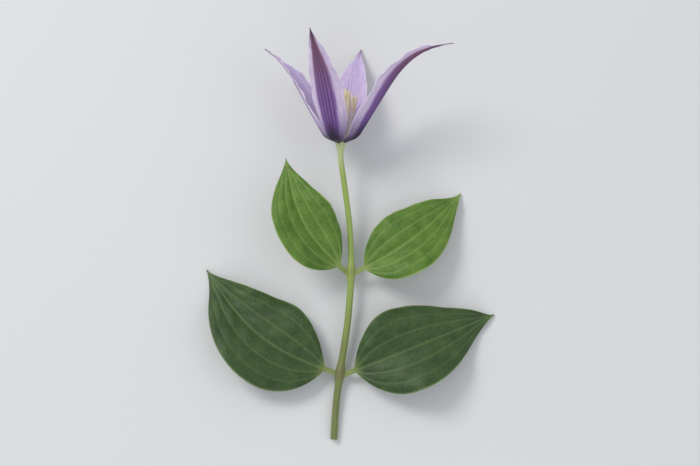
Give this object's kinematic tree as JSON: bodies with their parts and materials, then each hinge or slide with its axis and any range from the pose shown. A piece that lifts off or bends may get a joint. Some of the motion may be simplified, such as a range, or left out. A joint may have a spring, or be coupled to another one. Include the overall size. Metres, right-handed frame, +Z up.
{
  "type": "clematis flower",
  "caption": "Cut clematis stem lying on its side, with a bell-shaped purple flower of long pointed ribbed tepals around cream stamens, and opposite pairs of egg-shaped green leaves.",
  "frame": {"origin": "centre of the footprint of the whole flower, on the surface it lies on", "axes": "+Y from the cut end of the stem towards the flower, +Z up from the surface, +X to the right"},
  "size_m": [0.1166, 0.16, 0.0626],
  "materials": {
    "stem": "matt yellow-green skin, paler under the flower",
    "tepal": "satin petal skin, pale lilac inside, dark purple ribs outside",
    "stamen": "matt cream, dusty anthers",
    "pistil": "silky pale green",
    "young_leaf": "matt bright green, paler veins",
    "old_leaf": "satin dark green, paler veins"
  },
  "bodies": {
    "root": {"stem": "stem", "tepal_front": "tepal", "tepal_right": "tepal", "tepal_back": "tepal", "tepal_left": "tepal", "stamen_01": "stamen", "stamen_02": "stamen", "stamen_03": "stamen", "stamen_04": "stamen", "stamen_05": "stamen", "stamen_06": "stamen", "stamen_07": "stamen", "stamen_08": "stamen", "stamen_09": "stamen", "stamen_10": "stamen", "stamen_11": "stamen", "stamen_12": "stamen", "stamen_13": "stamen", "stamen_14": "stamen", "stamen_15": "stamen", "stamen_16": "stamen", "stamen_17": "stamen", "stamen_18": "stamen", "stamen_19": "stamen", "stamen_20": "stamen", "stamen_21": "stamen", "stamen_22": "stamen", "stamen_23": "stamen", "stamen_24": "stamen", "stamen_25": "stamen", "stamen_26": "stamen", "stamen_27": "stamen", "stamen_28": "stamen", "pistil_1": "pistil", "pistil_2": "pistil", "pistil_3": "pistil", "pistil_4": "pistil", "pistil_5": "pistil", "pistil_6": "pistil", "pistil_7": "pistil", "leaf_lower_left": "old_leaf", "leaf_lower_right": "old_leaf", "leaf_upper_left": "young_leaf", "leaf_upper_right": "young_leaf"}
  },
  "joints": []
}
